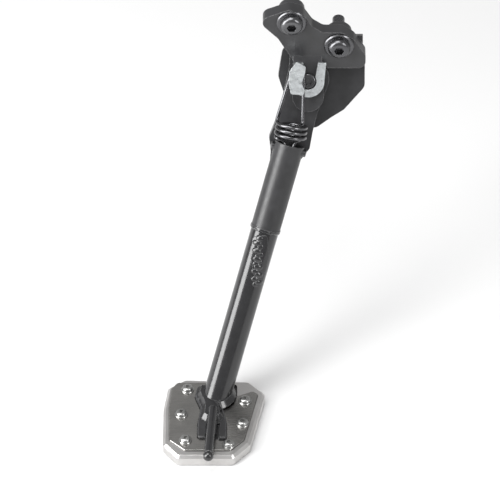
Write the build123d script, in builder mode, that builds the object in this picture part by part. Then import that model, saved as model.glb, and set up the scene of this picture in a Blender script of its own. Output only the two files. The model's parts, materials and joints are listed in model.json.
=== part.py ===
"""Motorcycle side stand: a tubular leg on a clevis bracket, two nested return springs and a foot enlarger.

Millimetres, +Z up. The motorcycle faces -X, its left side is -Y, and the stand is swung down.
The origin is midway between the two frame bolts, on the face that bolts to the motorcycle.

The leg swings in a plane that leans inwards at the top. Three planes carry almost everything:
  stand       on the pivot axis, x towards the rear of the motorcycle, z outwards along the pivot axis
  leg         the same plane turned so that x runs down the leg and y towards its rear side
  spring      the same plane with its origin on the hook post and x running down the springs
"""

import os
from math import atan2, cos, degrees, hypot, pi, radians, sin, tan

from build123d import *

# ---- driving dimensions -------------------------------------------------------------------------

BOLT_SPACING = 45.0  # centre to centre of the two frame bolts
BOLT_ANGLE = -32.0  # degrees, from the front bolt to the rear bolt, seen from the left
BOLT_END_R = 5.0  # M10
BOLT_SHOULDER_R = 5.2  # inside the bracket
BOLT_REACH = 16.0  # how far the frame bolts stand out of the mounting face

PIVOT = Vector(-5.6, -17.0, -46.4)
PIVOT_TILT = 28.0  # degrees that the pivot axis rises outwards
LEG_ANGLE = 254.3  # degrees, the leg's direction in the stand plane when it is down

HEAD_HALF = 5.0  # half thickness of the leg's flat head
LUG_FACE = 6.0  # from the middle of the head to each lug
LUG_THICK = 6.0
CHEEK_THICK = 6.5
WEB_BOTTOM = 20.6  # in the stand plane, the web's lower face, which is the stop
PIVOT_R = 5.0
BUSH_R = 8.0
RUNNING_GAP = 0.06

TUBE_HEIGHT = 14.5  # the tube's axis, outwards from the middle of the head
UPPER_TUBE_R = 12.0
LOWER_TUBE_R = 11.4
TUBE_WALL = 2.6
TUBE_TOP = 53.2  # distances down the leg from the pivot
CROSS_PIN_AT = 58.0
TUBE_JOINT = 125.0
HEAD_END = 88.0
LEG_END = 290.0  # past the foot, where the tube is trimmed

POST_X = -8.0  # the hook post in the stand plane
POST_Y = 9.6
POST_R = 3.0
SPRING_HEIGHT = 19.6
OUTER_COIL_R = 12.2
OUTER_WIRE_R = 1.5
INNER_COIL_R = 8.4
INNER_WIRE_R = 1.3
COIL_START = 43.5  # distances down the springs from the hook post
COIL_END = 56.2
COIL_TURNS = 3

PLATE_CENTRE = Vector(-81.6, -176.2)
SOLE = -284.7  # height of the ground
BASE_THICK = 10.2
CLAMP_THICK = 2.5
CLAMP_STEP = 1.0  # how far the clamp plates stand above the base
FLANGE_THICK = 5.0  # the stock foot's flange, held under the clamp plates
BOSS_TOP = 3.4  # the stock foot's top, above the base
SCREW_R = 2.5  # M5

# ---- planes and heights worked out from them ----------------------------------------------------

stand = Plane(
    origin=PIVOT,
    x_dir=(1, 0, 0),
    z_dir=(0, -cos(radians(PIVOT_TILT)), sin(radians(PIVOT_TILT))),
)


def turned(plane, angle):
    """The same plane turned about its own normal by an angle in degrees."""
    heading = plane.x_dir * cos(radians(angle)) + plane.y_dir * sin(radians(angle))
    return Plane(origin=plane.origin, x_dir=heading, z_dir=plane.z_dir)


leg = turned(stand, LEG_ANGLE)
outwards = Axis(PIVOT, stand.z_dir)

pin_x = CROSS_PIN_AT * cos(radians(LEG_ANGLE))
pin_y = CROSS_PIN_AT * sin(radians(LEG_ANGLE))
SPRING_LENGTH = hypot(pin_x - POST_X, pin_y - POST_Y)
SPRING_ANGLE = degrees(atan2(pin_y - POST_Y, pin_x - POST_X))
post_plane = Plane(
    origin=stand.from_local_coords(Vector(POST_X, POST_Y, 0)),
    x_dir=stand.x_dir,
    z_dir=stand.z_dir,
)
spring = turned(post_plane, SPRING_ANGLE)

BASE_TOP = SOLE + BASE_THICK
CLAMP_TOP = BASE_TOP + CLAMP_STEP
CLAMP_BOTTOM = CLAMP_TOP - CLAMP_THICK
FLANGE_BOTTOM = CLAMP_BOTTOM - FLANGE_THICK
FOOT_TOP = BASE_TOP + BOSS_TOP
LUG_TOP = LUG_FACE + LUG_THICK


def across_leg(distance, height=TUBE_HEIGHT):
    """A plane square to the leg, x towards the leg's rear side and y inwards."""
    origin = leg.from_local_coords(Vector(distance, 0, height))
    return Plane(origin=origin, x_dir=leg.y_dir, z_dir=leg.x_dir)


def level(height):
    """A horizontal plane at a height, with its origin over the middle of the foot plate."""
    return Plane(origin=(PLATE_CENTRE.X, PLATE_CENTRE.Y, height))


def save(builder, name):
    """Label a finished piece and write its STEP file."""
    builder.part.label = name
    export_step(builder.part, f"parts/{name}.step")


os.makedirs("parts", exist_ok=True)

half_x = BOLT_SPACING / 2 * cos(radians(BOLT_ANGLE))
half_z = BOLT_SPACING / 2 * sin(radians(BOLT_ANGLE))
FRAME_BOLTS = {"front": (-half_x, -half_z), "rear": (half_x, half_z)}

# ---- bracket: mounting plate, web, outer lug and inner cheek in one forging -------------------------

MOUNT_FRONT = 18.1  # depth of the plate's outer face from the mounting face
MOUNT_THICK = 10.5
MOUNT_OUTLINE = [
    (-47.0, 13.8),
    (-20.5, 24.9),
    (-10.5, 21.0),
    (-2.5, 7.5),
    (6.0, 1.2),
    (22.2, 1.2),
    (31.0, -6.0),
    (40.6, -22.5),
    (40.6, -36.0),
    (-13.0, -36.0),
    (-30.0, -4.7),
]
MOUNT_CORNER_R = 7.0
LUG_OUTLINE = [(-12.7, -13.0), (12.7, -13.0), (10.6, 24.0), (-12.0, 24.0)]
LUG_END = (0.0, -13.0)
LUG_END_R = 12.7
CHEEK_OUTLINE = [
    (-20.0, 26.0),
    (-24.0, 0.0),
    (-14.0, -30.0),
    (4.5, -44.5),
    (19.2, -34.0),
    (29.2, -27.8),
    (46.0, -8.8),
    (46.0, 26.0),
]
WEB_LEFT = -16.0
WEB_RIGHT = 44.0
WEB_TOP = 36.0
BOSS_R = 10.5

with BuildPart() as bracket:
    with BuildSketch(Plane.XZ.offset(MOUNT_FRONT - MOUNT_THICK)):
        with BuildLine():
            Polyline(*MOUNT_OUTLINE, close=True)
        make_face()
        fillet(vertices(), MOUNT_CORNER_R)
    extrude(amount=MOUNT_THICK)
    with BuildSketch(Plane.XZ):
        with Locations(*FRAME_BOLTS.values()):
            Circle(BOSS_R)
    extrude(amount=MOUNT_FRONT - MOUNT_THICK)
    with BuildSketch(stand.offset(-LUG_FACE - CHEEK_THICK)):
        with BuildLine():
            Polyline(*CHEEK_OUTLINE, close=True)
        make_face()
        fillet(vertices(), 7.5)
    extrude(amount=CHEEK_THICK)
    with BuildSketch(stand.offset(LUG_FACE)):
        with BuildLine():
            Polyline(*LUG_OUTLINE, close=True)
        make_face()
        with Locations(LUG_END):
            Circle(LUG_END_R)
    extrude(amount=LUG_THICK)
    with BuildSketch(stand.offset(-LUG_FACE)):
        with Locations(((WEB_LEFT + WEB_RIGHT) / 2, (WEB_BOTTOM + WEB_TOP) / 2)):
            Rectangle(WEB_RIGHT - WEB_LEFT, WEB_TOP - WEB_BOTTOM)
    extrude(amount=2 * LUG_FACE)
    with BuildSketch(stand.offset(-LUG_FACE)):
        with Locations((0, WEB_BOTTOM - 60)):
            Rectangle(160, 120)
    extrude(amount=2 * LUG_FACE, mode=Mode.SUBTRACT)
    with BuildSketch(Plane.XZ):
        Rectangle(200, 200)
    extrude(amount=-60, mode=Mode.SUBTRACT)
    with BuildSketch(Plane.XZ.offset(MOUNT_FRONT)):
        with Locations((0, 30)):
            Rectangle(160, 100)
    extrude(amount=40, mode=Mode.SUBTRACT)
    with Locations(Plane.XZ.offset(MOUNT_FRONT)):
        with Locations(*FRAME_BOLTS.values()):
            Hole(BOLT_SHOULDER_R)
    with Locations(stand.offset(LUG_TOP)):
        Hole(PIVOT_R)
    with Locations(stand.offset(LUG_TOP)):
        with Locations((POST_X, POST_Y)):
            Hole(POST_R, depth=LUG_THICK)
save(bracket, "bracket")

# ---- what holds the stand to the motorcycle and the leg to the bracket ------------------------------

FRAME_HEAD_R = 12.0
FRAME_DOME_R = 9.0
FRAME_DOME_H = 5.5
FRAME_FLANGE_H = 2.0
FRAME_SOCKET_AF = 7.0
SQRT3_HALF = sin(radians(60))

for end, place in FRAME_BOLTS.items():
    with BuildPart() as frame_bolt:
        with BuildSketch(Plane.XZ.offset(-BOLT_REACH)):
            with Locations(place):
                Circle(BOLT_END_R)
        extrude(amount=BOLT_REACH)
        with BuildSketch(Plane.XZ):
            with Locations(place):
                Circle(BOLT_SHOULDER_R)
        extrude(amount=MOUNT_FRONT)
        with BuildSketch(Plane.XZ.offset(MOUNT_FRONT)):
            with Locations(place):
                Circle(FRAME_HEAD_R)
        extrude(amount=FRAME_FLANGE_H)
        chamfer(frame_bolt.faces().sort_by(Axis.Y)[0].edges(), 0.8)
        with BuildSketch(Plane.XZ.offset(MOUNT_FRONT + FRAME_FLANGE_H)):
            with Locations(place):
                Circle(FRAME_DOME_R)
        extrude(amount=FRAME_DOME_H)
        fillet(frame_bolt.faces().sort_by(Axis.Y)[0].edges(), 4.0)
        with BuildSketch(Plane.XZ.offset(MOUNT_FRONT + FRAME_FLANGE_H + FRAME_DOME_H)):
            with Locations(place):
                RegularPolygon(FRAME_SOCKET_AF / 2 / SQRT3_HALF, 6)
        extrude(amount=-4.0, mode=Mode.SUBTRACT)
        chamfer(frame_bolt.faces().sort_by(Axis.Y)[-1].edges(), 1.0)
    save(frame_bolt, f"frame_bolt_{end}")

RING_THICK = 3.5
RING_R = 13.0
RING_HOLE_R = 6.8
PIN_HEAD_R = 6.2
PIN_HEAD_H = 3.4
NUT_THICK = 7.0
NUT_AF = 16.0
WASHER_THICK = 1.5
inner_face = -LUG_FACE - CHEEK_THICK
nut_face = inner_face - WASHER_THICK

with BuildPart() as pivot_bolt:
    with BuildSketch(stand.offset(nut_face - NUT_THICK - 2.0)):
        Circle(PIVOT_R)
    extrude(amount=LUG_TOP - nut_face + NUT_THICK + 2.0)
    with BuildSketch(stand.offset(LUG_TOP)):
        Circle(PIN_HEAD_R)
    extrude(amount=PIN_HEAD_H)
    with BuildSketch(stand.offset(LUG_TOP + PIN_HEAD_H)):
        RegularPolygon(3.0 / SQRT3_HALF, 6)
    extrude(amount=-2.4, mode=Mode.SUBTRACT)
    fillet(pivot_bolt.edges().filter_by(GeomType.CIRCLE).sort_by(outwards)[-1], 1.2)
save(pivot_bolt, "pivot_bolt")

with BuildPart() as pivot_washer:
    with BuildSketch(stand.offset(nut_face)):
        Circle(10.0)
        Circle(PIVOT_R, mode=Mode.SUBTRACT)
    extrude(amount=WASHER_THICK)
save(pivot_washer, "pivot_washer")

with BuildPart() as pivot_nut:
    with BuildSketch(stand.offset(nut_face - NUT_THICK)):
        RegularPolygon(NUT_AF / 2 / SQRT3_HALF, 6)
        Circle(PIVOT_R, mode=Mode.SUBTRACT)
    extrude(amount=NUT_THICK)
    chamfer(pivot_nut.faces().sort_by(outwards)[0].outer_wire().edges(), 0.8)
save(pivot_nut, "pivot_nut")

THRUST_R = 13.0
THRUST_GAP = 0.1
for side, low in (("outer", HEAD_HALF + THRUST_GAP), ("inner", -LUG_FACE)):
    with BuildPart() as thrust_washer:
        with BuildSketch(stand.offset(low)):
            Circle(THRUST_R)
            Circle(PIVOT_R, mode=Mode.SUBTRACT)
        extrude(amount=LUG_FACE - HEAD_HALF - THRUST_GAP)
    save(thrust_washer, f"thrust_washer_{side}")

# ---- spring anchor: C-shaped plate round the pivot, riveted post and cheek ---------------------------

POST_TOP = 26.0
CHEEK_LOW = 22.8
ANCHOR_CHEEK_THICK = 3.2
ANCHOR_REAR_ARM = [(5.6, 0.0), (13.0, 0.0), (14.5, 15.3), (8.0, 15.3)]
ANCHOR_FRONT_ARM = [(-13.0, 0.0), (-14.0, 9.0), (-10.5, 15.0), (-4.0, 15.0), (-4.4, 5.0)]
ANCHOR_MOUTH = [(-4.6, 4.0), (0.0, 0.0), (5.6, 2.0), (8.0, 15.4), (-3.8, 15.4)]
ANCHOR_CHEEK = [
    (-9.0, 18.4),
    (-15.2, 10.0),
    (-15.6, 0.0),
    (-13.8, -8.3),
    (-3.6, -8.8),
    (-2.8, -5.2),
    (-5.6, 0.5),
    (-3.2, 7.0),
    (-2.0, 14.0),
]

with BuildPart() as spring_anchor_plate:
    with BuildSketch(stand.offset(LUG_TOP)):
        Circle(RING_R)
        for arm in (ANCHOR_REAR_ARM, ANCHOR_FRONT_ARM):
            with BuildLine():
                Polyline(*arm, close=True)
            make_face()
        with BuildLine():
            Polyline(*ANCHOR_MOUTH, close=True)
        make_face(mode=Mode.SUBTRACT)
        Circle(RING_HOLE_R, mode=Mode.SUBTRACT)
        with Locations((POST_X, POST_Y)):
            Circle(POST_R, mode=Mode.SUBTRACT)
    extrude(amount=RING_THICK)
save(spring_anchor_plate, "spring_anchor_plate")

with BuildPart() as spring_post:
    with BuildSketch(stand.offset(LUG_FACE)):
        with Locations((POST_X, POST_Y)):
            Circle(POST_R)
    extrude(amount=POST_TOP - LUG_FACE)
save(spring_post, "spring_post")

with BuildPart() as spring_cheek:
    with BuildSketch(stand.offset(CHEEK_LOW)):
        with BuildLine():
            Polyline(*ANCHOR_CHEEK, close=True)
        make_face()
        fillet(vertices(), 1.8)
        with Locations((POST_X, POST_Y)):
            Circle(POST_R, mode=Mode.SUBTRACT)
    extrude(amount=ANCHOR_CHEEK_THICK)
save(spring_cheek, "spring_cheek")

# ---- leg: flat head, bush, two lengths of tube and their welds --------------------------------------

HEAD_R = 17.0
HEEL = [(-14.5, WEB_BOTTOM - 0.5), (0.0, WEB_BOTTOM - 0.5), (10.0, 0.0), (-16.5, -6.0)]
HEAD_TAPER = [(0, 17.0), (26, 15.0), (41, 15.6), (55, 17.0), (66, 12.6), (HEAD_END, 8.0)]

with BuildPart() as leg_head:
    with BuildSketch(stand.offset(-HEAD_HALF)):
        Circle(HEAD_R)
        with BuildLine():
            Polyline(*HEEL, close=True)
        make_face()
    extrude(amount=2 * HEAD_HALF)
    with BuildSketch(leg.offset(-HEAD_HALF)):
        with BuildLine():
            Polyline(*HEAD_TAPER, *[(run, -half) for run, half in reversed(HEAD_TAPER)], close=True)
        make_face()
    extrude(amount=2 * HEAD_HALF)
    with Locations(stand.offset(HEAD_HALF)):
        Hole(BUSH_R)
save(leg_head, "leg_head")

with BuildPart() as pivot_bush:
    with BuildSketch(stand.offset(-HEAD_HALF)):
        Circle(BUSH_R)
        Circle(PIVOT_R + RUNNING_GAP, mode=Mode.SUBTRACT)
    extrude(amount=2 * HEAD_HALF)
save(pivot_bush, "pivot_bush")

CROSS_PIN_R = 3.0
CROSS_PIN_HALF = 14.6
cross_pin_plane = Plane(
    origin=leg.from_local_coords(Vector(CROSS_PIN_AT, -CROSS_PIN_HALF, TUBE_HEIGHT)),
    x_dir=leg.x_dir,
    z_dir=leg.y_dir,
)

with BuildPart() as upper_tube:
    with BuildSketch(across_leg(TUBE_TOP)):
        Circle(UPPER_TUBE_R)
        Circle(UPPER_TUBE_R - TUBE_WALL, mode=Mode.SUBTRACT)
    extrude(amount=TUBE_JOINT - TUBE_TOP)
    with BuildSketch(leg.offset(-HEAD_HALF)):
        with Locations((HEAD_END / 2, 0)):
            Rectangle(HEAD_END, 3 * UPPER_TUBE_R)
    extrude(amount=2 * HEAD_HALF, mode=Mode.SUBTRACT)
    with BuildSketch(cross_pin_plane):
        Circle(CROSS_PIN_R)
    extrude(amount=2 * CROSS_PIN_HALF, mode=Mode.SUBTRACT)
save(upper_tube, "upper_tube")

with BuildPart() as spring_cross_pin:
    with BuildSketch(cross_pin_plane):
        Circle(CROSS_PIN_R)
    extrude(amount=2 * CROSS_PIN_HALF)
    chamfer(spring_cross_pin.edges().filter_by(GeomType.CIRCLE), 0.5)
save(spring_cross_pin, "spring_cross_pin")

with BuildPart() as lower_tube:
    with BuildSketch(across_leg(TUBE_JOINT)):
        Circle(LOWER_TUBE_R)
        Circle(LOWER_TUBE_R - TUBE_WALL, mode=Mode.SUBTRACT)
    extrude(amount=LEG_END - TUBE_JOINT)
    with BuildSketch(level(FOOT_TOP)):
        Rectangle(200, 200)
    extrude(amount=-80, mode=Mode.SUBTRACT)
save(lower_tube, "lower_tube")

with BuildPart() as joint_weld:
    with BuildSketch(across_leg(TUBE_JOINT)):
        Circle(UPPER_TUBE_R + 0.5)
        Circle(LOWER_TUBE_R, mode=Mode.SUBTRACT)
    extrude(amount=3.0)
    chamfer(joint_weld.edges().filter_by(GeomType.CIRCLE).sort_by(Axis(PIVOT, leg.x_dir))[-1], 0.8)
save(joint_weld, "joint_weld")

TONGUE_THICK = 1.2
TONGUE = [(128.0, 2.0), (134.0, -8.5), (150.0, -6.0), (176.0, 7.0), (170.0, 9.5), (146.0, 8.5)]
with BuildPart() as tongue_weld:
    with BuildSketch(across_leg(TUBE_JOINT)):
        Circle(LOWER_TUBE_R + TONGUE_THICK)
        Circle(LOWER_TUBE_R, mode=Mode.SUBTRACT)
    extrude(amount=60.0)
    with BuildSketch(leg.offset(TUBE_HEIGHT)):
        with BuildLine():
            Polyline(*TONGUE, close=True)
        make_face()
        fillet(vertices(), 2.5)
    extrude(amount=2 * UPPER_TUBE_R, mode=Mode.INTERSECT)
save(tongue_weld, "tongue_weld")

head_weld_top = HEAD_HALF + 3.2
for side, sign in (("front", -1), ("rear", 1)):
    with BuildPart() as head_weld:
        with BuildSketch(leg.offset(HEAD_HALF)):
            with Locations(((66 + TUBE_TOP + 4) / 2, sign * 9.5)):
                Rectangle(66 - TUBE_TOP - 4, 5.0)
        extrude(amount=head_weld_top - HEAD_HALF, taper=25)
        with BuildSketch(across_leg(TUBE_TOP)):
            Circle(UPPER_TUBE_R)
        extrude(amount=30, mode=Mode.SUBTRACT)
    save(head_weld, f"head_weld_{side}")

# ---- springs: two coils, one inside the other and wound opposite ways ---------------------------------

HOOK_TURN = 205.0  # degrees that a hook wraps round the post
HOOK_STEPS = 7
POINTS_PER_TURN = 8
POINT_SWELL = 1.04  # the wire's corners stand outside the circle that its arcs follow
TAIL_OFFSET = 2.6  # each spring's tail lies this far to its own side of the pin's middle
TAIL_STEP = 45
PIN_HOOK_SLACK = 1.4  # the pin moves 0.8 along the hook from one end of the swing to the other


def hook_points(radius, height, side):
    """Points round the post from the hook's free end to where the wire leaves for the coil."""
    turns = [radians(HOOK_TURN * step / HOOK_STEPS) for step in range(HOOK_STEPS, -1, -1)]
    return [(-radius * sin(turn), side * radius * cos(turn), height) for turn in turns]


def coil_points(radius, side):
    """Points along the coil, which starts and ends on its own side."""
    steps = COIL_TURNS * POINTS_PER_TURN
    points = []
    for step in range(steps + 1):
        turn = 2 * pi * step / POINTS_PER_TURN
        along = COIL_START + (COIL_END - COIL_START) * step / steps
        across = side * radius * POINT_SWELL * cos(turn)
        points.append((along, across, SPRING_HEIGHT + radius * POINT_SWELL * sin(turn)))
    return points


def pin_hook_points(wire_r, offset):
    """Points round the far side of the cross pin, from its outward side."""
    hook_r = (CROSS_PIN_R + wire_r) / cos(radians(TAIL_STEP / 2)) + PIN_HOOK_SLACK
    turns = [radians(angle) for angle in range(0, 181, TAIL_STEP)]
    return [(SPRING_LENGTH + hook_r * sin(t), offset, TUBE_HEIGHT + hook_r * cos(t)) for t in turns]


def corner_radii(points):
    """The largest bend at each corner that leaves a tenth of the shorter run straight."""
    radii = []
    for before, corner, after in zip(points, points[1:], points[2:]):
        arriving = corner - before
        leaving = after - corner
        half_turn = radians(arriving.get_angle(leaving)) / 2
        radii.append(0.45 * min(arriving.length, leaving.length) / tan(half_turn))
    return radii


SPRINGS = {
    "outer": (OUTER_COIL_R, OUTER_WIRE_R, -1, 20.6),
    "inner": (INNER_COIL_R, INNER_WIRE_R, 1, 17.2),
}
for which, (coil_r, wire_r, side, hook_height) in SPRINGS.items():
    route = [
        *hook_points(POST_R + wire_r + 0.3, hook_height, side),
        *coil_points(coil_r, side),
        (COIL_END + 2.6, side * 4.4, SPRING_HEIGHT),
        *pin_hook_points(wire_r, side * TAIL_OFFSET),
    ]
    places = [spring.from_local_coords(Vector(point)) for point in route]
    with BuildPart() as coil_spring:
        with BuildLine() as wire_path:
            FilletPolyline(*places, radius=corner_radii(places))
        with BuildSketch(Plane(origin=wire_path.line @ 0, z_dir=wire_path.line % 0)):
            Circle(wire_r)
        sweep(path=wire_path.wire())
    save(coil_spring, f"spring_{which}")

# ---- foot: stock foot, prong, and the plate kit that clamps round it ---------------------------------

BASE_OUTLINE = [
    (-23.8, 47.0),
    (-37.7, 37.0),
    (-41.2, 12.0),
    (-41.2, -29.5),
    (-29.6, -44.7),
    (15.9, -44.7),
    (29.6, -28.5),
    (41.6, 30.0),
    (28.6, 44.5),
]
CLAMP_LEFT = [
    (-4.6, 41.5),
    (-30.0, 41.5),
    (-34.8, 34.7),
    (-36.7, 12.0),
    (-36.2, -25.8),
    (-23.5, -37.9),
    (-4.6, -37.9),
]
CLAMP_RIGHT = [
    (-4.2, 25.0),
    (19.5, 25.7),
    (31.5, 31.5),
    (35.9, 28.0),
    (24.6, -25.8),
    (13.4, -37.9),
    (-4.2, -37.9),
]
BOSS_OUTLINE = [
    (-13.5, 35.0),
    (-15.6, 23.5),
    (-10.9, 8.5),
    (-13.2, -8.0),
    (-13.4, -24.8),
    (10.4, -26.0),
    (10.4, -8.0),
    (7.4, 9.0),
    (18.2, 23.0),
    (15.5, 35.0),
]
FORK_OUTLINE = [(-6.4, -9.0), (5.0, -9.0), (3.6, -30.0), (-7.6, -30.0)]
FORK_DEPTH = 2.4
FLANGE_SIZE = (35.0, 66.0)
FLANGE_CENTRE = (1.0, 7.0)
FLANGE_CORNER = 3.0
SCREW_PLACES = [(-21.8, 32.9), (-26.6, 3.6), (-23.0, -26.7), (25.3, 19.3), (23.2, -7.2), (12.2, -31.6)]
FIT_GAP = 0.3

with BuildPart() as stock_foot:
    with BuildSketch(level(FLANGE_BOTTOM)):
        with Locations(FLANGE_CENTRE):
            RectangleRounded(*FLANGE_SIZE, FLANGE_CORNER)
    extrude(amount=FLANGE_THICK)
    with BuildSketch(level(CLAMP_BOTTOM)):
        with BuildLine():
            Polyline(*BOSS_OUTLINE, close=True)
        make_face()
        fillet(vertices(), 2.5)
    extrude(amount=FOOT_TOP - CLAMP_BOTTOM)
    chamfer(stock_foot.faces().sort_by(Axis.Z)[-1].outer_wire().edges(), 0.7)
    with BuildSketch(level(FOOT_TOP)):
        with BuildLine():
            Polyline(*FORK_OUTLINE, close=True)
        make_face()
    extrude(amount=-FORK_DEPTH, mode=Mode.SUBTRACT)
save(stock_foot, "stock_foot")

with BuildPart() as base_plate:
    with BuildSketch(level(SOLE)):
        with BuildLine():
            Polyline(*BASE_OUTLINE, close=True)
        make_face()
        fillet(vertices(), 5.0)
    extrude(amount=BASE_THICK)
    chamfer(base_plate.faces().sort_by(Axis.Z)[-1].edges(), 2.2)
    chamfer(base_plate.faces().sort_by(Axis.Z)[0].edges(), 1.0)
    for outline_points in (CLAMP_LEFT, CLAMP_RIGHT):
        with BuildSketch(level(CLAMP_BOTTOM)):
            with BuildLine():
                Polyline(*outline_points, close=True)
            make_face()
            fillet(vertices(), 3.0)
            offset(amount=FIT_GAP)
        extrude(amount=CLAMP_THICK, mode=Mode.SUBTRACT)
    with BuildSketch(level(FLANGE_BOTTOM)):
        with Locations(FLANGE_CENTRE):
            RectangleRounded(FLANGE_SIZE[0] + 2 * FIT_GAP, FLANGE_SIZE[1] + 2 * FIT_GAP, FLANGE_CORNER)
    extrude(amount=BASE_THICK, mode=Mode.SUBTRACT)
    with Locations(level(BASE_TOP)):
        with Locations(*SCREW_PLACES):
            Hole(SCREW_R)
save(base_plate, "base_plate")

for side, outline_points in (("left", CLAMP_LEFT), ("right", CLAMP_RIGHT)):
    with BuildPart() as clamp_plate:
        with BuildSketch(level(CLAMP_BOTTOM)):
            with BuildLine():
                Polyline(*outline_points, close=True)
            make_face()
            fillet(vertices(), 3.0)
        extrude(amount=CLAMP_THICK)
        chamfer(clamp_plate.faces().sort_by(Axis.Z)[-1].edges(), 0.4)
        with BuildSketch(level(CLAMP_BOTTOM)):
            with BuildLine():
                Polyline(*BOSS_OUTLINE, close=True)
            make_face()
            fillet(vertices(), 2.5)
            offset(amount=FIT_GAP)
        extrude(amount=CLAMP_THICK, mode=Mode.SUBTRACT)
        with Locations(level(CLAMP_TOP)):
            with Locations(*SCREW_PLACES):
                Hole(SCREW_R)
    save(clamp_plate, f"clamp_plate_{side}")

SCREW_FLANGE_R = 5.3
SCREW_FLANGE_H = 1.1
SCREW_DOME_R = 4.3
SCREW_DOME_H = 2.6
SCREW_SOCKET_AF = 3.0
SCREW_LENGTH = 10.0
for number, place in enumerate(SCREW_PLACES, start=1):
    with BuildPart() as plate_screw:
        with BuildSketch(level(CLAMP_TOP - SCREW_LENGTH)):
            with Locations(place):
                Circle(SCREW_R)
        extrude(amount=SCREW_LENGTH)
        with BuildSketch(level(CLAMP_TOP)):
            with Locations(place):
                Circle(SCREW_FLANGE_R)
        extrude(amount=SCREW_FLANGE_H)
        chamfer(plate_screw.faces().sort_by(Axis.Z)[-1].edges(), 0.4)
        with BuildSketch(level(CLAMP_TOP + SCREW_FLANGE_H)):
            with Locations(place):
                Circle(SCREW_DOME_R)
        extrude(amount=SCREW_DOME_H)
        fillet(plate_screw.faces().sort_by(Axis.Z)[-1].edges(), 2.0)
        with BuildSketch(level(CLAMP_TOP + SCREW_FLANGE_H + SCREW_DOME_H)):
            with Locations(place):
                RegularPolygon(SCREW_SOCKET_AF / 2 / SQRT3_HALF, 6)
        extrude(amount=-2.0, mode=Mode.SUBTRACT)
    save(plate_screw, f"plate_screw_{number}")

PRONG_R = 3.8
BALL_R = 4.4
PRONG_ROOT = Vector(PLATE_CENTRE.X - 0.6, PLATE_CENTRE.Y + 4.0, FOOT_TOP + PRONG_R)
PRONG_TIP = Vector(PLATE_CENTRE.X - 4.3, PLATE_CENTRE.Y - 53.0, FOOT_TOP + PRONG_R + 2.0)
prong_run = PRONG_TIP - PRONG_ROOT

with BuildPart() as prong:
    with BuildSketch(Plane(origin=PRONG_ROOT, z_dir=prong_run)):
        Circle(PRONG_R)
    extrude(amount=prong_run.length)
    with BuildSketch(level(FOOT_TOP)):
        Rectangle(60, 60)
    extrude(amount=-10, mode=Mode.SUBTRACT)
    with Locations(PRONG_TIP):
        Sphere(BALL_R, mode=Mode.SUBTRACT)
save(prong, "prong")

with BuildPart() as prong_ball:
    with Locations(PRONG_TIP):
        Sphere(BALL_R)
save(prong_ball, "prong_ball")

FOOT_WELD_LEG = 3.8
FOOT_WELD_TOP = 4.5
SHOULDER_HEIGHT = 5.0  # the shoulder that runs from the tube's end to the fork
SHOULDER_OUTLINE = [
    (-12.6, 33.5),
    (-14.4, 23.5),
    (-9.7, 9.0),
    (-10.6, -3.0),
    (-6.5, -7.0),
    (4.6, -7.0),
    (8.2, -3.0),
    (6.2, 9.5),
    (16.6, 22.8),
    (14.2, 33.5),
]
foot_run = (FOOT_TOP - across_leg(0).origin.Z) / leg.x_dir.Z
foot_point = across_leg(foot_run).origin
foot_plane = Plane(origin=foot_point, x_dir=(leg.x_dir.X, leg.x_dir.Y, 0), z_dir=(0, 0, 1))

with BuildPart() as foot_weld:
    with BuildSketch(foot_plane):
        Ellipse(LOWER_TUBE_R / abs(leg.x_dir.Z) + FOOT_WELD_LEG, LOWER_TUBE_R + FOOT_WELD_LEG)
    extrude(amount=FOOT_WELD_TOP, taper=38)
    with BuildSketch(level(FOOT_TOP)):
        with BuildLine():
            Polyline(*SHOULDER_OUTLINE, close=True)
        make_face()
        fillet(vertices(), 2.0)
    extrude(amount=SHOULDER_HEIGHT, taper=30)
    with BuildSketch(across_leg(TUBE_JOINT)):
        Circle(LOWER_TUBE_R)
    extrude(amount=LEG_END - TUBE_JOINT, mode=Mode.SUBTRACT)
    add(prong.part, mode=Mode.SUBTRACT)
save(foot_weld, "foot_weld")

WELD_RUN = 26.0
fork_floor = level(FOOT_TOP - FORK_DEPTH)
for side, sign in (("front", -1), ("rear", 1)):
    with BuildPart() as prong_weld:
        with BuildSketch(Plane(origin=PRONG_ROOT, x_dir=(0, 0, 1), z_dir=prong_run)):
            with BuildLine():
                Polyline(
                    (-PRONG_R - FORK_DEPTH - 1.0, 0.0),
                    (-PRONG_R - FORK_DEPTH - 1.0, sign * 4.4),
                    (-PRONG_R + 0.6, sign * 4.4),
                    (0.0, sign * 3.2),
                    (0.0, 0.0),
                    close=True,
                )
            make_face()
            Circle(PRONG_R, mode=Mode.SUBTRACT)
        extrude(amount=WELD_RUN)
        with BuildSketch(fork_floor):
            Rectangle(60, 120)
        extrude(amount=-10, mode=Mode.SUBTRACT)
        add(stock_foot.part, mode=Mode.SUBTRACT)
        add(foot_weld.part, mode=Mode.SUBTRACT)
    save(prong_weld, f"prong_weld_{side}")
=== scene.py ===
import json
import math

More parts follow.
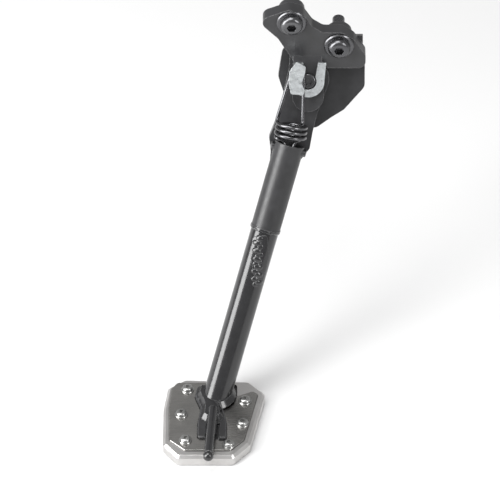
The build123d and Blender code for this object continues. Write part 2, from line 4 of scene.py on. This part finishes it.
import bpy
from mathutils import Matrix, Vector


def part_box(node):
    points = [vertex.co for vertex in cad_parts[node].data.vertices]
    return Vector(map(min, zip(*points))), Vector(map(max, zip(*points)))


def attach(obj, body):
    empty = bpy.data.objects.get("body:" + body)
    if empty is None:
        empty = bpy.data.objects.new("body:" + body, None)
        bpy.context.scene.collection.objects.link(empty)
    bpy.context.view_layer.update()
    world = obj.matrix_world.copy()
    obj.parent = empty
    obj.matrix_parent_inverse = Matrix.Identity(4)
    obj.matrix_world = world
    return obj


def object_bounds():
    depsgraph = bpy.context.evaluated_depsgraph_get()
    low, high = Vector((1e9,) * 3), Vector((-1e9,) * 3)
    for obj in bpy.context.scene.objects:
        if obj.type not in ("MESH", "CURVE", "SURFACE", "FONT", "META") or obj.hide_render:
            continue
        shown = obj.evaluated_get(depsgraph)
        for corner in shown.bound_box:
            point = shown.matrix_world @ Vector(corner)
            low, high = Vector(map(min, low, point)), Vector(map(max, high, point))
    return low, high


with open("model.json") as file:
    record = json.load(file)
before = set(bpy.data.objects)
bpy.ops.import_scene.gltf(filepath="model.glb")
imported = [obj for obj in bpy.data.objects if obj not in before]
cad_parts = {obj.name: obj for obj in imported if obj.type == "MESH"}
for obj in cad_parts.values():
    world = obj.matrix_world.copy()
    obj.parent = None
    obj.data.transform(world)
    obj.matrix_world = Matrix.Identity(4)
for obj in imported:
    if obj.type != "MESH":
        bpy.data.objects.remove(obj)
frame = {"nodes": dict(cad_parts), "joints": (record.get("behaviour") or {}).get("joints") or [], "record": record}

cad_low, cad_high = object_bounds()

# Everything is in metres in the stand's own frame: +Y into the motorcycle, -Y outwards, +Z up.

MM = 0.001
nodes = frame["nodes"]

# ---- camera: outside and above the motorcycle's left side -------------------------------------------

CAMERA_ELEVATION = math.radians(42.0)
CAMERA_DISTANCE = 4.0
CAMERA_LENS = 360.0
SENSOR = 36.0
AIM_FROM_PIVOT = Vector((-0.0467, -0.1166, -0.0821))


def add_camera():
    """The main camera, level from left to right and looking along +Y and down."""
    data = bpy.data.cameras.new("main_camera")
    data.lens = CAMERA_LENS
    data.sensor_width = SENSOR
    camera = bpy.data.objects.new("main_camera", data)
    bpy.context.collection.objects.link(camera)
    look = Vector((0.0, math.cos(CAMERA_ELEVATION), -math.sin(CAMERA_ELEVATION)))
    aim = Vector(frame["joints"][0]["pos_m"]) + AIM_FROM_PIVOT
    camera.location = aim - look * CAMERA_DISTANCE
    camera.rotation_mode = "QUATERNION"
    camera.rotation_quaternion = look.to_track_quat("-Z", "Y")
    bpy.context.scene.camera = camera


# ---- node helpers ---------------------------------------------------------------------------------


class Shader:
    """A small builder for one node material."""

    def __init__(self, name):
        self.material = bpy.data.materials.new(name)
        self.material.use_nodes = True
        self.tree = self.material.node_tree
        self.bsdf = next(n for n in self.tree.nodes if n.type == "BSDF_PRINCIPLED")
        self.coords = self.add("ShaderNodeTexCoord").outputs["Object"]

    def add(self, kind, **values):
        """A new node, with its properties set by keyword."""
        node = self.tree.nodes.new(kind)
        for key, value in values.items():
            setattr(node, key, value)
        return node

    def link(self, source, target):
        self.tree.links.new(source, target)

    def scaled(self, stretch):
        """Object coordinates stretched by three factors."""
        mapping = self.add("ShaderNodeMapping")
        mapping.inputs["Scale"].default_value = stretch
        self.link(self.coords, mapping.inputs["Vector"])
        return mapping.outputs["Vector"]

    def noise(self, scale, detail=3.0, roughness=0.5, stretch=(1, 1, 1)):
        node = self.add("ShaderNodeTexNoise")
        node.inputs["Scale"].default_value = scale
        node.inputs["Detail"].default_value = detail
        node.inputs["Roughness"].default_value = roughness
        self.link(self.scaled(stretch), node.inputs["Vector"])
        return node.outputs["Fac"]

    def ramp(self, value, low, high, out_low, out_high):
        """Value between low and high, mapped to the two outputs and clamped."""
        node = self.add("ShaderNodeMapRange")
        for key, number in (("From Min", low), ("From Max", high), ("To Min", out_low), ("To Max", out_high)):
            node.inputs[key].default_value = number
        self.link(value, node.inputs["Value"])
        return node.outputs["Result"]

    def mix(self, factor, first, second):
        """A colour between two, each a colour tuple or a socket."""
        node = self.add("ShaderNodeMix", data_type="RGBA")
        self.link(factor, node.inputs["Factor"])
        for key, colour in (("A", first), ("B", second)):
            socket = next(s for s in node.inputs if s.name == key and s.type == "RGBA")
            if isinstance(colour, tuple):
                socket.default_value = (*colour, 1.0)
            else:
                self.link(colour, socket)
        return next(s for s in node.outputs if s.type == "RGBA")

    def bump(self, height, distance, strength=1.0, normal=None):
        node = self.add("ShaderNodeBump")
        node.inputs["Strength"].default_value = strength
        node.inputs["Distance"].default_value = distance
        self.link(height, node.inputs["Height"])
        if normal is not None:
            self.link(normal, node.inputs["Normal"])
        return node.outputs["Normal"]

    def soft_edges(self, radius):
        """A normal that rounds sharp edges by a small radius."""
        node = self.add("ShaderNodeBevel", samples=4)
        node.inputs["Radius"].default_value = radius
        return node.outputs["Normal"]

    def edge_wear_and_highlight(self, radius):
        """High on sharp edges and zero on faces."""
        rounded = self.soft_edges(radius)
        geometry = self.add("ShaderNodeNewGeometry")
        dot = self.add("ShaderNodeVectorMath", operation="DOT_PRODUCT")
        self.link(rounded, dot.inputs[0])
        self.link(geometry.outputs["Normal"], dot.inputs[1])
        return self.ramp(dot.outputs["Value"], 0.98, 0.80, 0.0, 1.0)

    def set(self, **values):
        """Plain values on the shader's own sockets; underscores stand for spaces."""
        for key, value in values.items():
            self.bsdf.inputs[key.replace("_", " ")].default_value = value

    def drive(self, key, socket):
        self.link(socket, self.bsdf.inputs[key])


def powder_coat(name, dark, light, roughness, peel, coat):
    """Black paint with orange peel, a few dull patches, and edges lightened partly as wear and partly as a painted
    highlight.
    """
    s = Shader(name)
    s.set(Coat_Weight=coat, Coat_Roughness=0.12)
    patches = s.noise(60, 4)
    colour = s.mix(s.ramp(patches, 0.35, 0.7, 0, 1), dark, light)
    # The edge mask marks where the paint turns grey: partly real wear, partly a painted highlight along the rims.
    wear_and_highlight = s.edge_wear_and_highlight(0.9 * MM)
    broken = s.ramp(s.noise(900, 3), 0.36, 0.56, 0, 1)
    worn_and_lit = s.add("ShaderNodeMath", operation="MULTIPLY")
    s.link(wear_and_highlight, worn_and_lit.inputs[0])
    s.link(broken, worn_and_lit.inputs[1])
    # Broken edges go to grey (0.20): partly worn paint, partly a painted rim highlight standing in for light
    # caught on the edges.
    s.drive("Base Color", s.mix(worn_and_lit.outputs[0], colour, (0.20, 0.20, 0.205)))
    s.drive("Roughness", s.ramp(s.noise(240, 4), 0.3, 0.7, roughness - 0.05, roughness + 0.07))
    s.drive("Normal", s.bump(s.noise(1400, 2), peel, 1.0, s.soft_edges(0.8 * MM)))
    return s.material


def zinc_plate(name):
    """Bright zinc plating with a fine crystal grain and a bluish cast."""
    s = Shader(name)
    s.set(Metallic=1.0)
    grain = s.noise(2600, 4, 0.7)
    tone = s.mix(s.ramp(grain, 0.3, 0.7, 0, 1), (0.62, 0.66, 0.68), (0.95, 0.98, 0.99))
    dull = s.ramp(s.noise(300, 3), 0.45, 0.7, 0, 0.5)
    s.drive("Base Color", s.mix(dull, tone, (0.5, 0.52, 0.52)))
    s.drive("Roughness", s.ramp(s.noise(700, 3), 0.3, 0.7, 0.26, 0.46))
    s.drive("Normal", s.bump(grain, 0.03 * MM, 1.0, s.soft_edges(0.3 * MM)))
    return s.material


def machined(name, dark, light, roughness, stretch, depth, scale=900, edge=0.3 * MM):
    """Metal with fine lines in the direction that the stretch leaves smooth."""
    s = Shader(name)
    s.set(Metallic=1.0)
    lines = s.noise(scale, 4, 0.6, stretch)
    cloud = s.noise(45, 3)
    tone = s.mix(s.ramp(cloud, 0.3, 0.7, 0, 1), dark, light)
    s.drive("Base Color", s.mix(s.ramp(lines, 0.3, 0.7, 0, 0.35), tone, dark))
    s.drive("Roughness", s.ramp(lines, 0.3, 0.7, roughness - 0.05, roughness + 0.08))
    normal = s.soft_edges(edge) if edge else None
    s.drive("Normal", s.bump(lines, depth, 1.0, normal))
    return s.material


EVEN = (1, 1, 1)  # grain without a direction
ALONG_X = (0.04, 1, 1)


def make_materials():
    """One material for each of the record's slots."""
    return {
        "satin_black": powder_coat(
            "satin_black", (0.020, 0.020, 0.021), (0.030, 0.030, 0.032), 0.36, 0.006 * MM, 0.0
        ),
        "gloss_black": powder_coat(
            "gloss_black", (0.010, 0.010, 0.011), (0.014, 0.014, 0.015), 0.17, 0.002 * MM, 0.4
        ),
        "black_fastener": machined(
            "black_fastener", (0.10, 0.10, 0.105), (0.16, 0.16, 0.165), 0.26, EVEN, 0.01 * MM
        ),
        "zinc": zinc_plate("zinc"),
        "bronze_bush": machined("bronze_bush", (0.45, 0.32, 0.16), (0.6, 0.45, 0.25), 0.3, EVEN, 0.01 * MM),
        "anodised_aluminium": machined(
            "anodised_aluminium", (0.56, 0.55, 0.54), (0.66, 0.65, 0.64), 0.34, EVEN, 0.012 * MM, 1800
        ),
        "brushed_stainless": machined(
            "brushed_stainless", (0.30, 0.295, 0.285), (0.40, 0.39, 0.375), 0.27, ALONG_X, 0.012 * MM, 1500
        ),
        "bright_fastener": machined(
            "bright_fastener", (0.36, 0.36, 0.355), (0.46, 0.46, 0.45), 0.3, EVEN, 0.0002 * MM, edge=0
        ),
        "spring_steel": machined(
            "spring_steel", (0.09, 0.09, 0.095), (0.17, 0.17, 0.175), 0.2, EVEN, 0.01 * MM
        ),
    }


def finish_cad_nodes(materials):
    """Give every CAD node that stays in view its slot's material."""
    for part in frame["record"]["subparts"]:
        obj = nodes[part["node"]]
        obj.data.materials.clear()
        obj.data.materials.append(materials[part["material_slot"]])


# ---- weld beads: rows of overlapping lumps, as a hand-held torch leaves them ---------------------------

LEG_TILT = math.radians(28.0)
LEG_ANGLE = math.radians(254.3)
TUBE_HEIGHT = 14.5 * MM
TUBE_R = 11.4 * MM
PIVOT = Vector(frame["joints"][0]["pos_m"])
OUTWARDS = Vector((0.0, -math.cos(LEG_TILT), math.sin(LEG_TILT)))
UPHILL = Vector((0.0, math.sin(LEG_TILT), math.cos(LEG_TILT)))
DOWN_LEG = Vector((math.cos(LEG_ANGLE), 0.0, 0.0)) + UPHILL * math.sin(LEG_ANGLE)
ACROSS_LEG = OUTWARDS.cross(DOWN_LEG)
LUMP_RINGS = 8
LUMP_SIDES = 12


def on_tube(along, turn, radius=TUBE_R):
    """A point on the tube's skin and the directions round it and out of it."""
    out = OUTWARDS * math.cos(turn) + ACROSS_LEG * math.sin(turn)
    around = ACROSS_LEG * math.cos(turn) - OUTWARDS * math.sin(turn)
    centre = PIVOT + DOWN_LEG * along + OUTWARDS * TUBE_HEIGHT
    return centre + out * radius, around, out


def weld_bead(name, lumps, material):
    """One mesh of ellipsoids, each a centre and three half axes."""
    corners = []
    faces = []
    for centre, first, second, third in lumps:
        start = len(corners)
        for ring in range(LUMP_RINGS + 1):
            polar = math.pi * ring / LUMP_RINGS
            for side in range(LUMP_SIDES):
                turn = 2 * math.pi * side / LUMP_SIDES
                ringwise = first * math.cos(turn) + second * math.sin(turn)
                corners.append(centre + ringwise * math.sin(polar) + third * math.cos(polar))
        for ring in range(LUMP_RINGS):
            for side in range(LUMP_SIDES):
                a = start + ring * LUMP_SIDES + side
                b = start + ring * LUMP_SIDES + (side + 1) % LUMP_SIDES
                faces.append((a, b, b + LUMP_SIDES, a + LUMP_SIDES))
    mesh = bpy.data.meshes.new(name)
    mesh.from_pydata(corners, [], faces)
    mesh.validate()
    mesh.polygons.foreach_set("use_smooth", [True] * len(mesh.polygons))
    mesh.materials.append(material)
    piece = bpy.data.objects.new(name, mesh)
    bpy.context.collection.objects.link(piece)
    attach(piece, "leg_body")
    return piece


RING_LUMPS = 30
RING_AT = 126.4 * MM
TONGUE_LUMPS = 19
TONGUE_START = 133.0 * MM
TONGUE_STEP = 2.1 * MM


def add_weld_beads(material):
    """The ring where the tubes meet, and the ragged run down the lower tube's front."""
    ring = []
    for index in range(RING_LUMPS):
        turn = 2 * math.pi * index / RING_LUMPS
        centre, around, out = on_tube(RING_AT + 0.2 * MM * math.sin(5 * turn), turn)
        height = (1.15 + 0.1 * math.sin(7 * turn)) * MM
        ring.append((centre, around * 1.9 * MM, DOWN_LEG * 1.8 * MM, out * height))
    weld_bead("joint_ripples", ring, material)
    run = []
    for index in range(TONGUE_LUMPS):
        drift = (-3.0 + 0.45 * index + 2.0 * math.sin(2.3 * index)) * MM
        centre, around, out = on_tube(TONGUE_START + TONGUE_STEP * index, drift / TUBE_R)
        swell = 1.0 + 0.25 * math.sin(4.1 * index)
        run.append((centre, around * 3.4 * swell * MM, DOWN_LEG * 3.0 * MM, out * 1.7 * swell * MM))
    weld_bead("tongue_ripples", run, material)


# ---- studio ---------------------------------------------------------------------------------------

FLOOR_SIZE = 8.0


def add_floor():
    """A pale matt floor under the foot plate."""
    half = FLOOR_SIZE / 2
    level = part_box("base_plate")[0][2]
    mesh = bpy.data.meshes.new("floor")
    corners = [(-half, -half, level), (half, -half, level), (half, half, level), (-half, half, level)]
    mesh.from_pydata(corners, [], [(0, 1, 2, 3)])
    floor = bpy.data.objects.new("floor", mesh)
    bpy.context.collection.objects.link(floor)
    s = Shader("pale_floor")
    s.set(Roughness=0.9, Specular_IOR_Level=0.1)
    s.drive("Base Color", s.mix(s.noise(3, 2), (0.66, 0.66, 0.66), (0.68, 0.68, 0.68)))
    mesh.materials.append(s.material)


def add_light(name, place, size, power, target):
    """A soft rectangular light that faces a target."""
    data = bpy.data.lights.new(name, "AREA")
    data.shape = "RECTANGLE"
    data.size, data.size_y = size
    data.energy = power
    light = bpy.data.objects.new(name, data)
    bpy.context.collection.objects.link(light)
    light.location = place
    light.rotation_mode = "QUATERNION"
    light.rotation_quaternion = (Vector(target) - Vector(place)).to_track_quat("-Z", "Y")


def add_studio():
    """Soft boxes at both sides and above, and a pale surrounding."""
    middle = (cad_low + cad_high) / 2
    add_light("key_light", middle + Vector((-1.1, -0.7, 1.3)), (0.6, 1.1), 16, middle)
    add_light("strip_light", middle + Vector((-1.35, -0.6, 0.35)), (0.85, 1.2), 30, middle)
    add_light("side_light", middle + Vector((1.2, -1.0, 0.9)), (0.5, 0.9), 12, middle)
    add_light("top_light", middle + Vector((-0.3, -0.2, 1.8)), (1.2, 0.9), 22, middle)
    world = bpy.data.worlds.new("studio")
    world.use_nodes = True
    background = next(n for n in world.node_tree.nodes if n.type == "BACKGROUND")
    background.inputs["Color"].default_value = (1.0, 1.0, 1.0, 1.0)
    background.inputs["Strength"].default_value = 0.45
    bpy.context.scene.world = world
    bpy.context.scene.view_settings.view_transform = "Standard"


add_camera()
materials = make_materials()
finish_cad_nodes(materials)
add_weld_beads(materials["gloss_black"])
add_floor()
add_studio()
